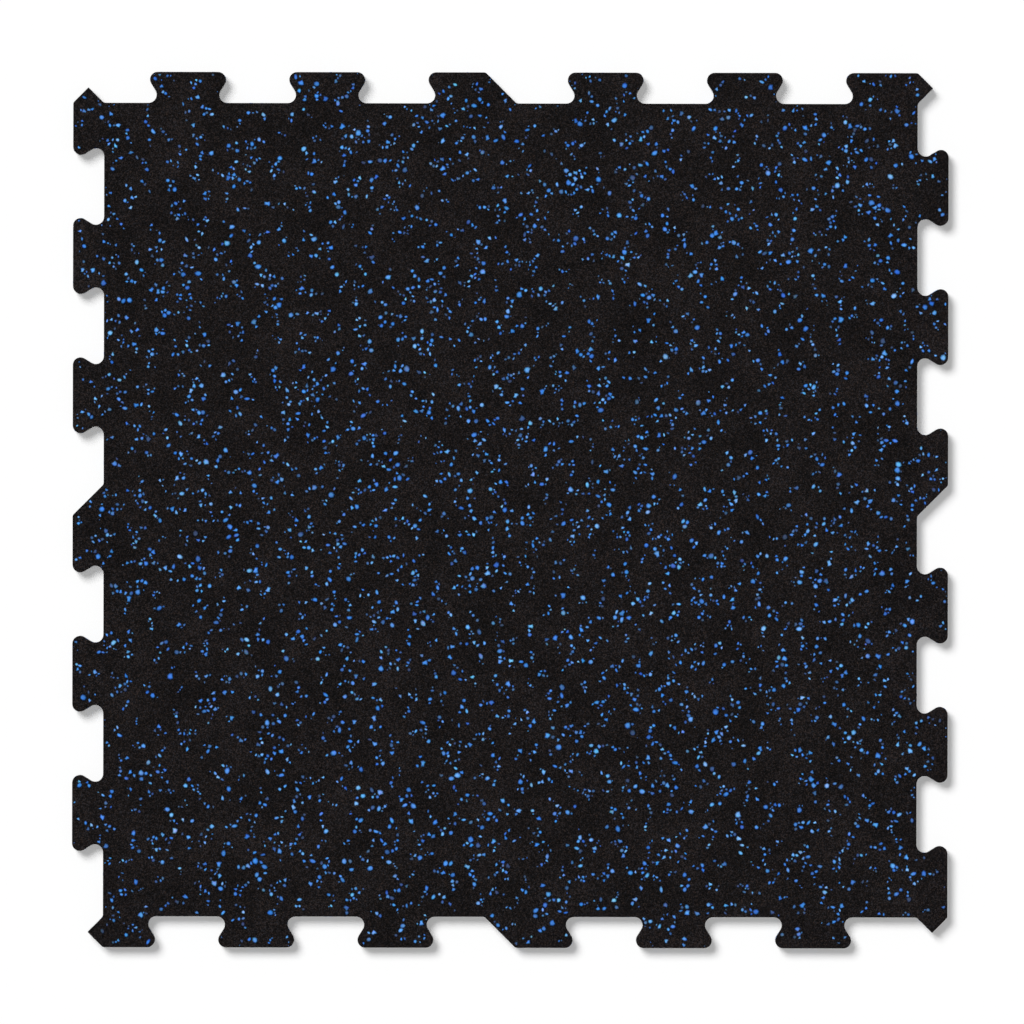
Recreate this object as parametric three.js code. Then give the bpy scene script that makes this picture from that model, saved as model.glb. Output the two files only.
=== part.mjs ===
// Interlocking rubber gym floor tile.
//
// One square of dense recycled rubber, cut through its whole thickness along a puzzle edge.
// Dovetailed tabs and sockets alternate along each side, and one slanted step near the middle
// of each side swaps their order. The top and bottom edges are the same curve one pitch apart,
// and so are the left and right ones, so a tile locks to its own copies on all four sides.
//
// Millimetres, +Z up. The origin is the centre of the underside. Seen from above, +X is right
// and +Y is up.

import * as THREE from 'three';

// Driving dimensions
const overallSize = 609.6;      // over the tabs, both ways: 24 in
const thickness = 9.5;          // 3/8 in stock
const tabDepth = 21.6;          // from the root line of the sockets to the end line of the tabs
const fingerWidth = 48.5;       // a tab or a socket, halfway up its flanks
const stepOffset = -6.8;        // the slanted step's centre, from the middle of its side
const flankLean = 32;           // degrees that a flank leans out, which makes the dovetail
const dovetailRadius = 5.5;     // rounding at both ends of a flank, on the line of the cut
const slopeRadius = 3.0;        // rounding at both ends of a 45 degree slope, on the line of the cut
const cutGap = 0.5;             // what the cut leaves between two tiles that are locked together

// The distance from one laid tile to the next
const pitch = overallSize - tabDepth + cutGap;
const halfPitch = pitch / 2;
const halfDepth = tabDepth / 2;

// Round stretches are drawn in steps of about this angle
const arcStep = THREE.MathUtils.degToRad(15);

const rubber = new THREE.MeshStandardMaterial({
  name: 'flecked_rubber',
  color: 0x1c1a1a,
  roughness: 0.9,
  metalness: 0,
});

// A corner of the line of the cut, and the radius that rounds it
function corner(x, y, radius = 0) {
  return { point: new THREE.Vector2(x, y), radius };
}

// The most flanks that fit into a stretch of a side, as an odd number, because each stretch
// starts with a socket and ends with a tab. What ends the side stays at least as wide as it is
// deep.
function flankCount(stretch) {
  const fitting = Math.floor((stretch - tabDepth) / fingerWidth);
  return fitting % 2 === 1 ? fitting : fitting - 1;
}

// The two corners of a flank, in the order in which a side passes them. The head lies further
// from the middle of its tab than the foot does, so the tab can't be pulled out sideways.
function flank(along, rises) {
  const reach = halfDepth * Math.tan(THREE.MathUtils.degToRad(flankLean));
  const outwards = rises ? -reach : reach;
  const head = corner(along + outwards, halfDepth, dovetailRadius);
  const foot = corner(along - outwards, -halfDepth, dovetailRadius);
  return rises ? [foot, head] : [head, foot];
}

// The flanks at the given numbers of finger widths from the slanted step
function flanks(numbers) {
  return numbers.flatMap((n) => flank(stepOffset + n * fingerWidth, Math.abs(n) % 2 === 1));
}

// The line of the cut along one side, from one meeting point of four tiles to the next. Tabs
// stand above the line between these points and sockets go below it. At each end a 45 degree
// slope runs into the sharp tip that lies on the meeting point, and the last tip is left to
// the side that follows.
function sideCorners() {
  const before = flankCount(halfPitch + stepOffset);
  const after = flankCount(halfPitch - stepOffset);
  return [
    corner(-halfPitch, 0),
    corner(-halfPitch + halfDepth, -halfDepth, slopeRadius),
    ...flanks(Array.from({ length: before }, (_, i) => i - before)),
    corner(stepOffset - halfDepth, halfDepth, slopeRadius),
    corner(stepOffset + halfDepth, -halfDepth, slopeRadius),
    ...flanks(Array.from({ length: after }, (_, i) => i + 1)),
    corner(halfPitch - halfDepth, halfDepth, slopeRadius),
  ];
}

// The same corners, laid through a change of axes
function laid(corners, place) {
  return corners.map(({ point, radius }) => corner(...place(point.x, point.y), radius));
}

// The line of the cut round the whole tile, anticlockwise from the bottom left tip. Opposite
// sides are one curve, and the top and right sides are passed from their far end.
function cutLine() {
  const side = sideCorners();
  const tip = corner(halfPitch, 0);
  const farEndFirst = [...side.slice(1), tip].reverse();
  return [
    ...laid(side, (along, height) => [along, height - halfPitch]),
    ...laid(farEndFirst, (along, height) => [halfPitch + height, -along]),
    ...laid(farEndFirst, (along, height) => [along, halfPitch + height]),
    ...laid(side, (along, height) => [height - halfPitch, -along]),
  ];
}

// Each corner of a closed anticlockwise line with the directions in which it is reached and left
function withDirections(corners) {
  return corners.map((here, i) => {
    const last = corners.at(i - 1);
    const next = corners[(i + 1) % corners.length];
    const arriving = here.point.clone().sub(last.point);
    const leaving = next.point.clone().sub(here.point);
    const room = Math.min(arriving.length(), leaving.length()) / 2;
    return { ...here, arriving: arriving.normalize(), leaving: leaving.normalize(), room };
  });
}

// The edge of the rubber, which stays half a cut's gap inside the line of the cut. Outer
// corners get rounder as they go in, and inner ones the other way round, so the gap is even.
function insideOf(corners, distance) {
  return withDirections(corners).map(({ point, radius, arriving, leaving }) => {
    const inwards = new THREE.Vector2(-arriving.y - leaving.y, arriving.x + leaving.x);
    inwards.multiplyScalar(distance / (1 + arriving.dot(leaving)));
    const turn = Math.sign(arriving.cross(leaving));
    return corner(point.x + inwards.x, point.y + inwards.y, Math.max(0, radius - turn * distance));
  });
}

// The points of one corner: an arc that touches both of its lines, or the corner itself
function roundedCorner({ point, radius, arriving, leaving, room }) {
  if (radius === 0) return [point];
  const turn = Math.atan2(arriving.cross(leaving), arriving.dot(leaving));
  const bend = Math.tan(Math.abs(turn) / 2);
  const fitted = Math.min(radius, room / bend);
  const side = Math.sign(turn);
  const start = point.clone().addScaledVector(arriving, -fitted * bend);
  const across = new THREE.Vector2(-arriving.y, arriving.x).multiplyScalar(side);
  const centre = start.clone().addScaledVector(across, fitted);
  const startAngle = start.clone().sub(centre).angle();
  const arc = new THREE.EllipseCurve(
    centre.x, centre.y, fitted, fitted, startAngle, startAngle + turn, side < 0,
  );
  return arc.getPoints(Math.ceil(Math.abs(turn) / arcStep));
}

function tileShape() {
  const edge = withDirections(insideOf(cutLine(), cutGap / 2));
  return new THREE.Shape(edge.flatMap(roundedCorner));
}

function rubberTile() {
  const geometry = new THREE.ExtrudeGeometry(tileShape(), { depth: thickness, bevelEnabled: false });
  const tile = new THREE.Mesh(geometry, rubber);
  tile.name = 'rubber_tile';
  return tile;
}

const floorTile = new THREE.Group();
floorTile.name = 'rubber_gym_floor_tile';
floorTile.add(rubberTile());

export default floorTile;
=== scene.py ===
# %% [markdown]
# # A rubber gym floor tile
# The real tile is one square of pressed recycled rubber. Black tyre crumb and a few percent of
# blue granules are bound with glue, pressed into a block, sliced to thickness and cut along a
# puzzle edge. This lesson dresses its plain solid: the cut edge gets its small rounding, the
# rubber its grain, and every blue granule becomes a small shape of its own.

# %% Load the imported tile
import math

import bmesh
import bpy
import numpy as np
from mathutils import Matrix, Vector


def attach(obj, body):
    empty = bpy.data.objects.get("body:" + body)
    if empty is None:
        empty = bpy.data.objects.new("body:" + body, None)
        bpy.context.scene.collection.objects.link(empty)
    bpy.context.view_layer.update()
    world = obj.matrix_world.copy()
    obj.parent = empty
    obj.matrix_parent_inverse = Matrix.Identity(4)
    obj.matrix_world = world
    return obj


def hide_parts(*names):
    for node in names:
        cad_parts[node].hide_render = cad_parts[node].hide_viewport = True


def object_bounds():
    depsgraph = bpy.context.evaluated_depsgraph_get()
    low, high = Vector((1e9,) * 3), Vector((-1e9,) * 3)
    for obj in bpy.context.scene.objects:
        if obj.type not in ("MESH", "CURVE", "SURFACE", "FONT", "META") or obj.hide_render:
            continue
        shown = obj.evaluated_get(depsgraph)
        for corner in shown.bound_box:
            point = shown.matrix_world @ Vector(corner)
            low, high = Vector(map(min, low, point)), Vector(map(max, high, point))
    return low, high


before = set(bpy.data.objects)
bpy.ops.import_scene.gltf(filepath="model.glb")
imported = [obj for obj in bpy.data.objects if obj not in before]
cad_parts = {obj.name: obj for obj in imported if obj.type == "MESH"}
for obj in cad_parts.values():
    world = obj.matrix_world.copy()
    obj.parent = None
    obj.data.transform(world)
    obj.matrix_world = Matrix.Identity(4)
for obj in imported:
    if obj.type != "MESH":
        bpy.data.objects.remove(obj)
cad_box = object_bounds()
MM = 0.001
print("solid from", cad_box[0], "to", cad_box[1])

# %% [markdown]
# ## The camera
# The tile is seen from straight above, and none of its edge walls show. That takes a long lens
# far away, because a near camera would see the walls lean outwards. A camera that isn't turned
# looks straight down already, so it only needs its place and a hair of roll.

# %% Place the camera
PICTURE_WIDTH = 713.9 * MM      # the width of floor that the picture shows
PICTURE_CENTRE = Vector((1.2 * MM, -1.3 * MM))
PICTURE_ROLL = math.radians(0.1)
CAMERA_HEIGHT = 8.0
SENSOR = 36.0                   # millimetres, as Blender counts them
SIGHT_END = 200                 # metres, past the far side of the floor

lens = bpy.data.cameras.new("long_lens")
lens.sensor_width = SENSOR
lens.lens = SENSOR * CAMERA_HEIGHT / PICTURE_WIDTH
lens.clip_end = SIGHT_END
camera = bpy.data.objects.new("camera", lens)
camera.location = (PICTURE_CENTRE.x, PICTURE_CENTRE.y, CAMERA_HEIGHT)
camera.rotation_euler = (0, 0, PICTURE_ROLL)
bpy.context.scene.collection.objects.link(camera)
bpy.context.scene.camera = camera
print("lens of", round(lens.lens), "mm")

# %% [markdown]
# ## The light
# The floor is pure white, and a soft shadow shows only below and to the right of the tile. A wide
# lamp from the upper left makes it. A second one from straight above fills the shadow to a mid
# grey without darkening the other two sides. Sun lamps are used because they light a flat floor
# evenly. The pale world only softens what is left.

# %% Set up the light
SUN_LEAN = math.radians(39.8)
SUN_SPREAD = math.radians(29)
SUN_FROM = math.radians(130.5)  # seen from above, turning from +X to the side that light comes from
KEY_LIGHT = 2.59
FILL_LIGHT = 1.17
FILL_SPREAD = math.radians(6)
SKY_LIGHT = 0.08


def sun(name, strength, lean, comes_from, spread):
    lamp = bpy.data.lights.new(name, "SUN")
    lamp.energy = strength
    lamp.angle = spread
    thing = bpy.data.objects.new(name, lamp)
    thing.rotation_euler = (0, lean, comes_from)
    bpy.context.scene.collection.objects.link(thing)
    print("lamp", name, "of strength", strength)


sun("key", KEY_LIGHT, SUN_LEAN, SUN_FROM, SUN_SPREAD)
sun("fill", FILL_LIGHT, 0, 0, FILL_SPREAD)
world = bpy.data.worlds.new("pale_room")
world.use_nodes = True
world.node_tree.nodes["Background"].inputs["Color"].default_value = (1, 1, 1, 1)
world.node_tree.nodes["Background"].inputs["Strength"].default_value = SKY_LIGHT
bpy.context.scene.world = world
bpy.context.scene.view_settings.view_transform = "Standard"

# %% [markdown]
# ## Small tools
# Every finish below is a short chain of nodes, so one helper adds a node and fills its sockets.
# Another one puts a finished mesh and its materials into an object.

# %% Helpers for nodes and objects


def material(name):
    made = bpy.data.materials.new(name)
    made.use_nodes = True
    return made, made.node_tree, made.node_tree.nodes["Principled BSDF"]


def add_node(tree, kind, values=None, **settings):
    node = tree.nodes.new(kind)
    for key, value in settings.items():
        setattr(node, key, value)
    for socket, value in (values or {}).items():
        if isinstance(value, bpy.types.NodeSocket):
            tree.links.new(value, node.inputs[socket])
        else:
            node.inputs[socket].default_value = value
    return node


def object_from(name, mesh, *materials):
    for one in materials:
        mesh.materials.append(one)
    made = bpy.data.objects.new(name, mesh)
    bpy.context.scene.collection.objects.link(made)
    return made


# %% [markdown]
# ## The floor
# The tile lies on a plain white studio floor. It is a wide disc, so low views still see it.

# %% Make the floor
FLOOR_RADIUS = 60
FLOOR_SIDES = 64
FLOOR_WHITE = 0.925


def studio_floor():
    paint, tree, shader = material("studio_white")
    shader.inputs["Base Color"].default_value = (FLOOR_WHITE, FLOOR_WHITE, FLOOR_WHITE, 1)
    shader.inputs["Roughness"].default_value = 1.0
    shader.inputs["Specular IOR Level"].default_value = 0.0
    bm = bmesh.new()
    bmesh.ops.create_circle(bm, cap_ends=True, segments=FLOOR_SIDES, radius=FLOOR_RADIUS)
    mesh = bpy.data.meshes.new("studio_floor")
    bm.to_mesh(mesh)
    bm.free()
    object_from("studio_floor", mesh, paint)
    print("floor of", 2 * FLOOR_RADIUS, "m across")


studio_floor()

# %% [markdown]
# ## The rubber
# Tyre crumb is not one black. Seen close, each crumb has its own shade of warm or cool black,
# and seen from afar the sheet is faintly cloudy. A Voronoi texture gives every crumb one random
# value for its shade and another for its warmth, and a slow noise adds the clouds. The flat
# faces use the pattern without its height, so that the upper side and the underside agree.

# %% Mix the black rubber
CRUMB_SIZE = 0.64 * MM
# From the darkest crumb to the palest one: where in the mix, and how bright.
BLACKS = ((0.0, 0.0004), (0.3, 0.0031), (0.7, 0.0078), (1.0, 0.0215))
WARM_TINT = (1.40, 0.92, 0.74, 1)
COOL_TINT = (0.92, 0.92, 1.13, 1)
CLOUDS_TO_A_METRE = 28
CLOUD_DETAIL = 4
CLOUD_ENDS = (0.3, 0.7)         # the noise's values where a cloud is darkest and palest
CLOUD_DEPTH = 0.13              # how far a cloud moves a crumb's place in the mix
GRAIN_HEIGHT = 0.2 * MM
GRAIN_STRENGTH = 0.5
RUBBER_ROUGHNESS = 0.85
RUBBER_GLOSS = 0.08


def ramp_of_greys(tree, factor, stops):
    ramp = add_node(tree, "ShaderNodeValToRGB", {"Fac": factor})
    while len(ramp.color_ramp.elements) < len(stops):
        ramp.color_ramp.elements.new(0.5)
    for stop, (position, level) in zip(ramp.color_ramp.elements, stops):
        stop.position = position
        stop.color = (level, level, level, 1)
    return ramp.outputs["Color"]


def black_rubber(name, flat_pattern):
    made, tree, shader = material(name)
    place = add_node(tree, "ShaderNodeTexCoord").outputs["Object"]
    scale = (1, 1, 0) if flat_pattern else (1, 1, 1)
    place = add_node(tree, "ShaderNodeMapping", {"Vector": place, "Scale": scale}).outputs[0]
    crumbs = add_node(tree, "ShaderNodeTexVoronoi", {"Vector": place, "Scale": 1 / CRUMB_SIZE})
    clouds = add_node(
        tree, "ShaderNodeTexNoise",
        {"Vector": place, "Scale": CLOUDS_TO_A_METRE, "Detail": CLOUD_DETAIL},
    )
    random = add_node(tree, "ShaderNodeSeparateColor", {"Color": crumbs.outputs["Color"]})
    cloudy = add_node(
        tree, "ShaderNodeMapRange",
        {"Value": clouds.outputs["Fac"], "From Min": CLOUD_ENDS[0], "From Max": CLOUD_ENDS[1],
         "To Min": -CLOUD_DEPTH, "To Max": CLOUD_DEPTH},
    )
    both = add_node(
        tree, "ShaderNodeMath", {0: random.outputs[0], 1: cloudy.outputs[0]},
        operation="ADD", use_clamp=True,
    )
    tint = add_node(
        tree, "ShaderNodeMix", {0: random.outputs[1], 6: WARM_TINT, 7: COOL_TINT}, data_type="RGBA"
    )
    shade = ramp_of_greys(tree, both.outputs[0], BLACKS)
    tinted = add_node(
        tree, "ShaderNodeVectorMath", {0: shade, 1: tint.outputs[2]}, operation="MULTIPLY"
    )
    tree.links.new(tinted.outputs[0], shader.inputs["Base Color"])
    bump = add_node(
        tree, "ShaderNodeBump",
        {"Strength": GRAIN_STRENGTH, "Distance": GRAIN_HEIGHT, "Height": crumbs.outputs["Distance"]},
        invert=True,
    )
    tree.links.new(bump.outputs["Normal"], shader.inputs["Normal"])
    shader.inputs["Roughness"].default_value = RUBBER_ROUGHNESS
    shader.inputs["Specular IOR Level"].default_value = RUBBER_GLOSS
    return made


face_rubber = black_rubber("face_rubber", True)
edge_rubber = black_rubber("edge_rubber", False)
print("mixed", face_rubber.name, "and", edge_rubber.name)

# %% [markdown]
# ## The tile's body
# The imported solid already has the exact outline, as loose triangles. A copy of it is merged, and
# its flat stretches are joined into one face above, one below and a ring of quads. The upper
# face's corners are then the outline, which everything else is measured from.

# %% Copy the solid and read its outline
TOP = cad_box[1][2]
REACH = cad_box[1][0]           # how far the tile reaches to each side of its middle
MERGED_WITHIN = 0.01 * MM
FLAT_WITHIN = math.radians(1)


def merged_solid():
    bm = bmesh.new()
    bm.from_mesh(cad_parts["rubber_tile"].data)
    bmesh.ops.remove_doubles(bm, verts=bm.verts, dist=MERGED_WITHIN)
    bmesh.ops.dissolve_limit(
        bm, angle_limit=FLAT_WITHIN, use_dissolve_boundaries=False, verts=bm.verts, edges=bm.edges
    )
    return bm


tile = merged_solid()
by_height = sorted(tile.faces, key=lambda face: face.calc_center_median().z)
lower, upper = by_height[0], by_height[-1]
outline = np.array([vert.co.xy for vert in upper.verts])
print("outline of", len(outline), "points round", len(tile.faces) - 2, "walls")

# %% [markdown]
# ## Measuring from the outline
# Granules must stay on the rubber, and the wall's map is unrolled along the outline. Both need
# the point of the outline that is nearest to a place. A place is inside where a line from it to
# the left crosses the outline an odd number of times.

# %% Measure from the outline
CHUNK = 500                     # places measured at once, so that the arrays stay small
step = np.roll(outline, -1, axis=0) - outline
step_length = np.hypot(*step.T)
step_start = np.cumsum(step_length) - step_length
outline_length = step_length.sum()


def in_chunks(measure, places):
    parts = [measure(places[first:first + CHUNK]) for first in range(0, len(places), CHUNK)]
    return [np.concatenate(column) for column in zip(*parts)]


def nearest_on_outline(places):
    """Each place's distance from the outline, and how far along the outline that is."""
    offset = places[:, None] - outline
    share = np.clip((offset * step).sum(2) / step_length ** 2, 0, 1)
    away = np.linalg.norm(offset - share[..., None] * step, axis=2)
    row, nearest = np.arange(len(away)), away.argmin(1)
    return away[row, nearest], step_start[nearest] + share[row, nearest] * step_length[nearest]


def room_inside(places):
    """Each place's distance from the outline, negative where it lies outside."""
    x, y = places[:, :1], places[:, 1:]
    passes = (y < outline[:, 1]) != (y < outline[:, 1] + step[:, 1])
    rise = np.where(step[:, 1] == 0, 1, step[:, 1])
    crossed = passes & (x > outline[:, 0] + step[:, 0] * (y - outline[:, 1]) / rise)
    away = nearest_on_outline(places)[0]
    return (np.where(crossed.sum(1) % 2 == 1, away, -away),)


print("the cut is", round(outline_length, 3), "m long")

# %% [markdown]
# ## Rounding the rims
# A knife leaves a crisp rim, but rubber never keeps a corner of no width. A small bevel along
# both rims catches the light as the real edge does.

# %% Round the rims
RIM_ROUND = 0.45 * MM
RIM_STEPS = 3                   # how many faces make the rounding
FLAT_FROM = 0.999               # how straight up or down a flat face's normal points, at least


def round_rims(bm):
    rims = [edge for face in (upper, lower) for edge in face.edges]
    bmesh.ops.bevel(
        bm, geom=rims, offset=RIM_ROUND, offset_type="OFFSET", affect="EDGES",
        segments=RIM_STEPS, profile=0.5, material=-1,
    )
    for face in bm.faces:
        flat = abs(face.normal.z) > FLAT_FROM
        face.smooth = not flat
        face.material_index = 0 if flat else 1
    print("body of", len(bm.faces), "faces")


round_rims(tile)

# %% [markdown]
# ## A map for the body
# The exported part carries its finish as a picture on a map, and Blender's own unwrapping wastes
# much of it on an outline like this. So the map is laid out here. The two faces share one big
# square, because they have the same pattern. The wall is unrolled into a few strips above it.

# %% Lay the body's map
FACE_SHARE = 0.9                # how much of the map's width the faces take
STRIPS = 5
STRIP_START = 0.915             # where the strips begin, up the map
STRIP_PITCH = 0.0165
STRIP_HEIGHT = 0.9              # as a share of the pitch
STRIP_MARGIN = 0.04             # left free at both ends of a strip


def map_body(bm):
    layer = bm.loops.layers.uv.new("OFBake")
    bm.verts.index_update()
    places = np.array([vert.co for vert in bm.verts])
    away, along = in_chunks(nearest_on_outline, places[:, :2])
    across = places[:, 2] + np.where(places[:, 2] > TOP / 2, away, -away) + RIM_ROUND
    strip = outline_length / STRIPS
    for face in bm.faces:
        if face.material_index == 0:
            for loop in face.loops:
                loop[layer].uv = (loop.vert.co.xy / REACH + Vector((1, 1))) / 2 * FACE_SHARE
            continue
        parts = along[[vert.index for vert in face.verts]]
        parts = np.where(parts < parts.max() - outline_length / 2, parts + outline_length, parts)
        number = int(parts.mean() % outline_length // strip)
        lap = outline_length if parts.mean() > outline_length else 0
        for loop, part in zip(face.loops, parts):
            share = (part - lap) / strip - number
            height = across[loop.vert.index] / (TOP + 2 * RIM_ROUND)
            loop[layer].uv = (
                STRIP_MARGIN + share * (1 - 2 * STRIP_MARGIN),
                STRIP_START + (number + STRIP_HEIGHT * height) * STRIP_PITCH,
            )


map_body(tile)
print("map with the wall in", STRIPS, "strips")

# %% Turn the body into an object


def finished_body(bm):
    mesh = bpy.data.meshes.new("tile_body")
    bm.to_mesh(mesh)
    bm.free()
    body = object_from("tile_body", mesh, face_rubber, edge_rubber)
    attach(body, "root")
    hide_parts("rubber_tile")
    print(body.name, "has", len(mesh.vertices), "points")


finished_body(tile)

# %% [markdown]
# ## Where the granules lie
# The blue granules are stirred into the black crumb. They are spread evenly over the sheet as a
# whole, but close up they stick together in small crooked clumps with bare rubber between. A grid
# of clumps would show as rows, so they begin at random places that keep apart from each other. A
# clump grows granule by granule, each next to one that is already there. A granule that would
# lie on another looks for another place, and gives up after a few tries.

# %% Find where the clumps begin
CLUMPS_APART = 11.5 * MM        # how far apart two clumps begin at least
CLUMP_TRIES = 30                # how many places are tried in a square of that width


def clump_heads(rng, low, high):
    """Random places that keep apart, tried until hardly another one fits between them."""
    tries = math.ceil(CLUMP_TRIES * np.subtract(high, low).prod() / CLUMPS_APART ** 2)
    heads = np.empty((0, 2))
    for place in rng.uniform(low, high, (tries, 2)):
        if not len(heads) or ((heads - place) ** 2).sum(1).min() > CLUMPS_APART ** 2:
            heads = np.vstack((heads, place))
    return heads


# %% Grow the clumps
CLUMP_SIZES = (3, 6)            # how many granules a clump grows, if each finds a place
GRAIN_MEDIAN = 3.77 * MM        # the length of a granule with its glue line
GRAIN_SPREAD = 0.28             # of the logarithm of the lengths
GRAIN_LIMITS = (1.2 * MM, 6.6 * MM)
LEAST_APART = 1.6 * MM          # how far the middles of two granules always are from each other
TOUCHING = 0.28                 # the same, as a share of two granules' lengths together
NEAREST, FARTHEST = 0.6, 1.5    # how far the next granule lies, as a share of their mean length
CROWDING = 1.5                  # the higher, the more of them lie near
FOLLOWING = 0.5                 # how many of them follow the last one, and so make a row
WANDERING = 1.1                 # how much a row turns at each granule, in radians
GRAIN_TRIES = 4                 # how many places are tried for a granule


def grain_length(rng):
    length = GRAIN_MEDIAN * math.exp(GRAIN_SPREAD * rng.standard_normal())
    return min(max(length, GRAIN_LIMITS[0]), GRAIN_LIMITS[1])


def keep_if_free(buckets, grain):
    """Keeps a granule in its bucket, unless it would lie on one in the buckets around."""
    x, y, length = grain
    column, row = int(x // GRAIN_LIMITS[1]), int(y // GRAIN_LIMITS[1])
    around = [buckets.get((column + i, row + j), ()) for i in (-1, 0, 1) for j in (-1, 0, 1)]
    for a, b, c in (other for bucket in around for other in bucket):
        if math.hypot(x - a, y - b) < max((length + c) * TOUCHING, LEAST_APART):
            return False
    buckets.setdefault((column, row), []).append(grain)
    return True


def grow_clump(rng, buckets, head):
    clump = []
    heading = rng.uniform(0, 2 * math.pi)
    for _ in range(rng.integers(*CLUMP_SIZES, endpoint=True)):
        length = grain_length(rng)
        for _ in range(GRAIN_TRIES if clump else 1):
            x, y = head
            if clump:
                a, b, c = clump[-1] if rng.random() < FOLLOWING else clump[rng.integers(len(clump))]
                heading += rng.normal(0, WANDERING)
                distance = NEAREST + (FARTHEST - NEAREST) * rng.random() ** CROWDING
                distance *= (length + c) / 2
                x, y = a + distance * math.cos(heading), b + distance * math.sin(heading)
            if keep_if_free(buckets, (x, y, length)):
                clump.append((x, y, length))
                break


# %% [markdown]
# The wall shows the same mix as the faces, so it is sown like a long and narrow face, as if it
# were unrolled. Where the cut went through a granule, only part of it is left. Such a granule is
# shortened until it fits inside the edge, and dropped if it gets too small.

# %% Sow a flat stretch
EDGE_MARGIN = 0.35 * MM


def room_on_face(places):
    return in_chunks(room_inside, places)[0] - EDGE_MARGIN


def room_on_wall(places):
    return np.minimum(places[:, 1], TOP - places[:, 1]) - RIM_ROUND


def sow(rng, low, high, room_at):
    """The place and length of each granule between two corners of a flat stretch."""
    buckets = {}
    for head in clump_heads(rng, low, high):
        grow_clump(rng, buckets, head)
    grains = np.array([grain for bucket in buckets.values() for grain in bucket])
    grains[:, 2] = np.minimum(grains[:, 2], 2 * room_at(grains[:, :2]))
    return grains[grains[:, 2] > GRAIN_LIMITS[0]]


# %% [markdown]
# ## The granules' shapes
# A granule in a sliced sheet shows as a flat pebble: a crooked rim level with the rubber and a
# hardly raised crown. Blender's sphere with few segments gives the closed shape. Its rings are
# moved to the rim and the crown, and the rim is made crooked. Some rims get one notch and some
# get two, which makes those granules look like two grown together. Two dozen such pebbles are
# enough, because each copy is turned, narrowed and tinted in its own way. Every point also gets
# its share of crown, from 0 at the rim to 1 at the crown. A small pebble has no ring for the
# crown, so its top gets more than 1, and the value is 1 where the ring would be.

# %% Shape the pebbles
SHAPE_SEED = 5
KINDS = 12                      # how many large pebbles there are, and how many small ones
LARGE_SIDES, LARGE_RINGS = 7, 3
SMALL_SIDES, SMALL_RINGS = 6, 2
CROWN_SHARE = 0.38              # the crown's width as a share of the rim's
RIM_HEIGHT, CROWN_HEIGHT, PEBBLE_DEPTH = -0.004, 0.035, 0.12      # as shares of the length
PEAK = 1.15                     # how high the top is, as a share of the crown's height
AT_AXIS = 0.01                  # a point of the sphere that is nearer to its axis is a pole
BULGES = (0.74, 1.0)            # how far the rim lies from the middle, as a share of the most
NOTCH = 0.55                    # how much of that a notch leaves
CROWN_SHIFT = 0.05              # how far the crown lies off the middle, at most
UPPER_CELL = (0.43, 0.80)       # the upper side's middle and width in a pebble's part of the map
LOWER_CELL = (0.92, 0.13)       # the same for the lower side


def pebble(rng, sides, rings, notches):
    """A closed pebble, at most one unit long: its places, triangles, map and share of crown."""
    bm = bmesh.new()
    bmesh.ops.create_uvsphere(bm, u_segments=sides, v_segments=rings, radius=0.5)
    bmesh.ops.triangulate(bm, faces=bm.faces)
    bulges = rng.uniform(*BULGES, sides)
    crown_shift = Vector(rng.uniform(-CROWN_SHIFT, CROWN_SHIFT, 2))
    for number in range(notches):
        bulges[number * sides // 2] *= NOTCH
    for vert in bm.verts:
        across = vert.co.xy.length
        if across < AT_AXIS:
            vert.co.z = CROWN_HEIGHT * PEAK if vert.co.z > 0 else -PEBBLE_DEPTH
            continue
        side = round(math.atan2(vert.co.y, vert.co.x) / (2 * math.pi) * sides) % sides
        crown = rings > 2 and vert.co.z > 0
        vert.co.xy *= bulges[side] * (CROWN_SHARE if crown else 1) / across / 2
        vert.co.z = CROWN_HEIGHT if crown else RIM_HEIGHT
        if crown:
            vert.co.xy += crown_shift
    bm.verts.index_update()
    places = np.array([vert.co for vert in bm.verts])
    triangles = np.array([[vert.index for vert in face.verts] for face in bm.faces])
    bm.free()
    underside = places[triangles, 2].min(1) < -PEBBLE_DEPTH / 2
    centre, width = np.where(underside[:, None], LOWER_CELL, UPPER_CELL).T
    spots = centre[:, None, None] + places[triangles, :2] * width[:, None, None]
    crown = (places[:, 2] > 0) * (1 if rings > 2 else 1 / (1 - CROWN_SHARE))
    return places, triangles, spots, crown


shape_rng = np.random.default_rng(SHAPE_SEED)
large_pebbles = [pebble(shape_rng, LARGE_SIDES, LARGE_RINGS, number % 3) for number in range(KINDS)]
small_pebbles = [pebble(shape_rng, SMALL_SIDES, SMALL_RINGS, number % 2) for number in range(KINDS)]
print("a large pebble has", len(large_pebbles[0][1]), "triangles")
print("a small pebble has", len(small_pebbles[0][1]), "triangles")

# %% [markdown]
# ## The blues
# The granules are dyed rubber of one blue that comes out paler or deeper, and nearer to violet or
# to cyan, from grain to grain. Black dust covers some of them. Each granule is painted darker from
# its crown out to its rim. This is partly a line of black glue that runs round it, and partly
# painted shade, as if the nearly flat granule were a rounded bead. The tint is stored with the
# mesh's points, so that it belongs to the granule and not to its place in the room. Its fourth value
# tells the crown from the rim. A fine noise keeps a large granule from looking painted.

# %% Mix the blues


def from_screen(red, green, blue):
    """A colour as a screen shows it, 0 to 255, in the light units that materials count in.

    The numbers are those of the standard curve that every screen follows.
    """
    share = np.array((red, green, blue)) / 255
    return np.where(share < 0.04045, share / 12.92, ((share + 0.055) / 1.055) ** 2.4)


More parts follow.
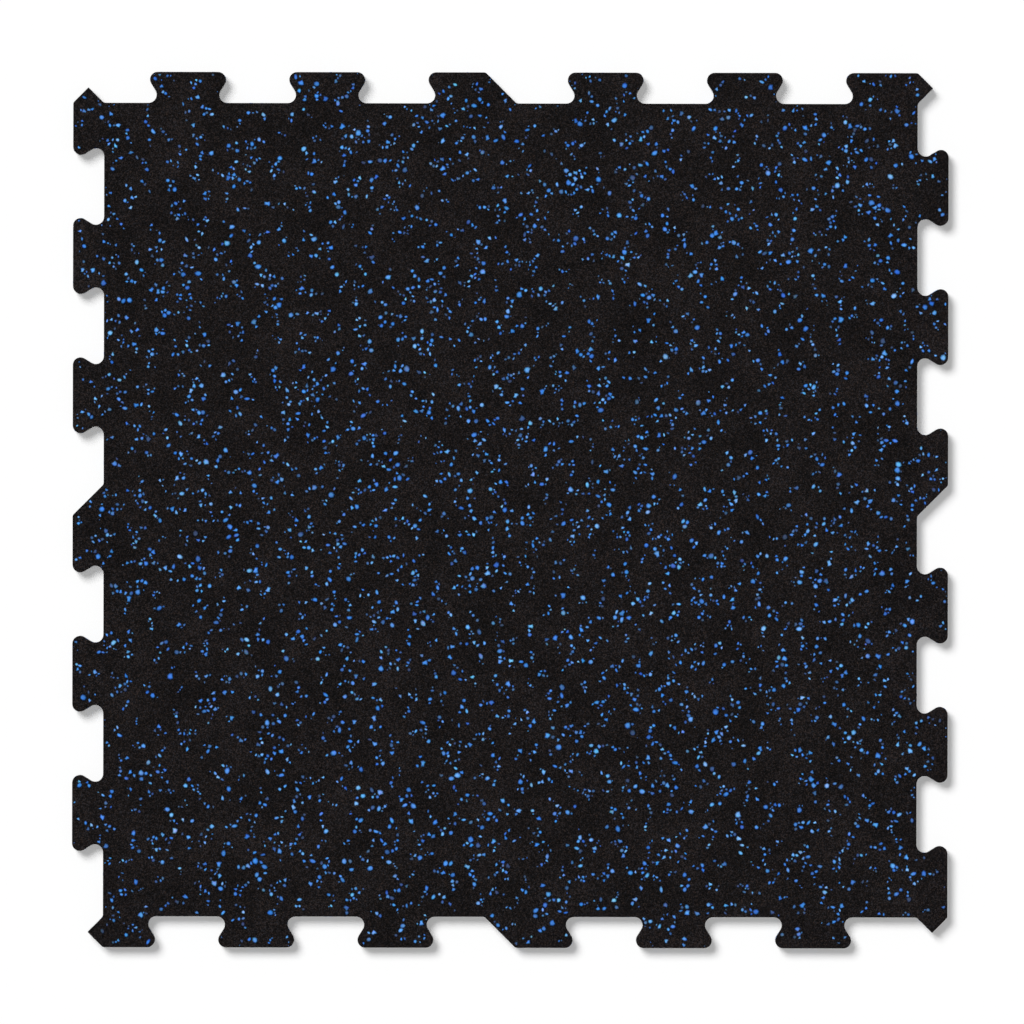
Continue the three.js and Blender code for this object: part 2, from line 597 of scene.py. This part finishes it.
DEEP_BLUE = from_screen(48, 106, 204)
MID_BLUE = from_screen(70, 143, 236)
PALE_BLUE = from_screen(122, 190, 254)
PALENESS = (0.1, 0.5)           # average and spread, from -1 for the deep blue to 1 for the pale one
CHANNEL_SPREAD = (0.14, 0.05, 0.03)     # how much red, green and blue vary from grain to grain
DUST_COLOUR = from_screen(56, 70, 98)
DUSTY = 0.52                    # how many granules of the median length are under dust
DUST_LEFT = (0.0, 0.7)          # how much of their blue shows through
CLEAN_LEFT = (0.72, 1.0)        # how much of it shows on the others
# Glue black, which also stands for painted shade that darkens each granule towards its rim, as of a
# rounded bead.
GLUE_AND_SHADE_BLACK = (0.0012, 0.0010, 0.0011, 1)
GLUE_AND_SHADE_ENDS = (0.1, 1.0)          # from the rim, 0, to the crown, 1: where the glue and the painted shade end and blue is full
MOTTLE_SIZE = 1.2 * MM
MOTTLE_DETAIL = 2
MOTTLE_DEPTH = (2.0, 1.2, 1.0)          # how much the mottling changes red, green and blue
MOTTLE_LEAST = (0.0, 0.4, 0.5)          # where it starts, so that it changes nothing on average
BLUE_ROUGHNESS = 0.8
BLUE_GLOSS = 0.12


def tints(rng, lengths):
    """A colour for each granule. The smaller it is, the sooner it is under dust."""
    paleness = rng.normal(*PALENESS, len(lengths))[:, None]
    blue = MID_BLUE + (PALE_BLUE - MID_BLUE) * np.clip(paleness, 0, 1)
    blue += (DEEP_BLUE - MID_BLUE) * np.clip(-paleness, 0, 1)
    blue *= rng.lognormal(0, CHANNEL_SPREAD, blue.shape)
    dusty = rng.random(len(lengths)) < DUSTY * (GRAIN_MEDIAN / lengths) ** 2
    under_dust = rng.uniform(*DUST_LEFT, len(lengths))
    clean = rng.uniform(*CLEAN_LEFT, len(lengths))
    shows = np.where(dusty, under_dust, clean)[:, None]
    return np.minimum(blue * shows + DUST_COLOUR * (1 - shows), 1)


def granule_blue():
    made, tree, shader = material("granule_blue")
    place = add_node(tree, "ShaderNodeTexCoord").outputs["Object"]
    noise = add_node(
        tree, "ShaderNodeTexNoise",
        {"Vector": place, "Scale": 1 / MOTTLE_SIZE, "Detail": MOTTLE_DETAIL},
    )
    mottle = add_node(
        tree, "ShaderNodeVectorMath", {0: noise.outputs["Color"], 1: MOTTLE_DEPTH, 2: MOTTLE_LEAST},
        operation="MULTIPLY_ADD",
    )
    tint = add_node(tree, "ShaderNodeAttribute", attribute_name="tint")
    uneven = add_node(
        tree, "ShaderNodeVectorMath", {0: tint.outputs["Color"], 1: mottle.outputs[0]},
        operation="MULTIPLY",
    )
    # Painted shade and glue: the blue darkens to black from the crown out to the granule's rim.
    shows = add_node(
        tree, "ShaderNodeMapRange",
        {"Value": tint.outputs["Alpha"], "From Min": GLUE_AND_SHADE_ENDS[0], "From Max": GLUE_AND_SHADE_ENDS[1]},
    )
    glued_and_shaded = add_node(
        tree, "ShaderNodeMix", {0: shows.outputs[0], 6: GLUE_AND_SHADE_BLACK, 7: uneven.outputs[0]},
        data_type="RGBA",
    )
    tree.links.new(glued_and_shaded.outputs[2], shader.inputs["Base Color"])
    shader.inputs["Roughness"].default_value = BLUE_ROUGHNESS
    shader.inputs["Specular IOR Level"].default_value = BLUE_GLOSS
    return made


blue = granule_blue()
print("mixed", blue.name)

# %% [markdown]
# ## Laying the granules
# Thousands of single objects would be slow, so all granules of one side are joined into one mesh.
# Each copy of a pebble is worked out flat, from where it lies, how it is turned, how long and
# narrow it is, and what tint it has. Then its points are taken onto the tile. Each copy also gets
# its own small square of the piece's map.

# %% Join many granules into one piece
LARGE_FROM = 3.0 * MM           # shorter granules are made from the small pebbles
NARROWEST = 0.48                # a granule's least width as a share of its length


def lay_granules(name, rng, grains, onto):
    """Joins granules, given flat by place and length, and takes their points onto the tile."""
    count, lengths, level = len(grains), grains[:, 2], np.zeros(len(grains))
    places = np.column_stack((grains[:, :2], level))
    turn = rng.uniform(0, 2 * math.pi, count)
    narrow = rng.uniform(NARROWEST, 1, count)
    along = np.column_stack((np.cos(turn), np.sin(turn), level))
    beside = np.column_stack((-np.sin(turn), np.cos(turn), level)) * narrow[:, None]
    out = np.column_stack((level, level, level + 1))
    axes = np.stack((along, beside, out), 1) * lengths[:, None, None]
    colour = tints(rng, lengths)
    kind = rng.integers(0, KINDS, count) + np.where(lengths > LARGE_FROM, 0, KINDS)
    columns = math.ceil(math.sqrt(count))
    points, triangles, map_spots, tint, total = [], [], [], [], 0
    for number, (shape, faces, spots, crown) in enumerate(large_pebbles + small_pebbles):
        chosen = np.flatnonzero(kind == number)
        points.append((places[chosen, None] + shape @ axes[chosen]).reshape(-1, 3))
        first = total + np.arange(len(chosen)) * len(shape)
        triangles.append((first[:, None, None] + faces).reshape(-1, 3))
        total += len(chosen) * len(shape)
        cell = np.stack((chosen % columns, chosen // columns), 1)
        map_spots.append(((cell[:, None, None] + spots) / columns).reshape(-1, 2))
        colours = np.repeat(colour[chosen], len(shape), axis=0)
        tint.append(np.column_stack((colours, np.tile(crown, len(chosen)))))
    mesh = bpy.data.meshes.new(name)
    mesh.from_pydata(onto(np.concatenate(points)), [], np.concatenate(triangles).tolist())
    tint_layer = mesh.attributes.new("tint", "FLOAT_COLOR", "POINT")
    tint_layer.data.foreach_set("color", np.concatenate(tint).ravel())
    map_layer = mesh.uv_layers.new(name="OFBake")
    map_layer.data.foreach_set("uv", np.concatenate(map_spots).ravel())
    mesh.shade_smooth()
    piece = object_from(name, mesh, blue)
    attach(piece, "root")
    print(name, "has", count, "granules and", len(mesh.polygons), "triangles")


# %% [markdown]
# ## The two faces
# A tile is sliced from a thick block, so its underside shows the granules just as its upper side
# does, only others. To make the pebbles look down without turning them inside out, the two
# directions along the face change places. So the underside is sown with them changed as well.

# %% Lay the granules of both faces
TOP_SEED, UNDERSIDE_SEED = 11, 12


def onto_top(flat):
    return flat + (0, 0, TOP)


def onto_underside(flat):
    return flat[:, [1, 0, 2]] * (1, 1, -1)


rng = np.random.default_rng(TOP_SEED)
grains = sow(rng, (-REACH, -REACH), (REACH, REACH), room_on_face)
lay_granules("blue_granules_top", rng, grains, onto_top)
rng = np.random.default_rng(UNDERSIDE_SEED)
grains = sow(rng, (-REACH, -REACH), (REACH, REACH), room_on_face)
lay_granules("blue_granules_underside", rng, grains[:, [1, 0, 2]], onto_underside)

# %% [markdown]
# ## The cut wall
# The wall's granules are sown along the outline and up the wall, and every point of them is then
# bent round the outline, so that they follow its curves. At a corner of the outline, the way out
# is halfway between those of the two steps that meet there. Clumps begin past both rims too,
# because the rims would be bare otherwise.

# %% Lay the granules of the wall
WALL_SEED = 13
PAST_RIM = 3.5 * MM             # how far past each rim clumps still begin

outwards = np.column_stack((step[:, 1], -step[:, 0])) / step_length[:, None]
outwards = outwards + np.roll(outwards, 1, axis=0)
outwards /= np.linalg.norm(outwards, axis=1)[:, None]


def onto_wall(flat):
    x, y, out_x, out_y = (
        np.interp(flat[:, 0], step_start, column, period=outline_length)
        for column in (*outline.T, *outwards.T)
    )
    return np.column_stack((x + out_x * flat[:, 2], y + out_y * flat[:, 2], flat[:, 1]))


rng = np.random.default_rng(WALL_SEED)
grains = sow(rng, (0, -PAST_RIM), (outline_length, TOP + PAST_RIM), room_on_wall)
lay_granules("blue_granules_wall", rng, grains, onto_wall)
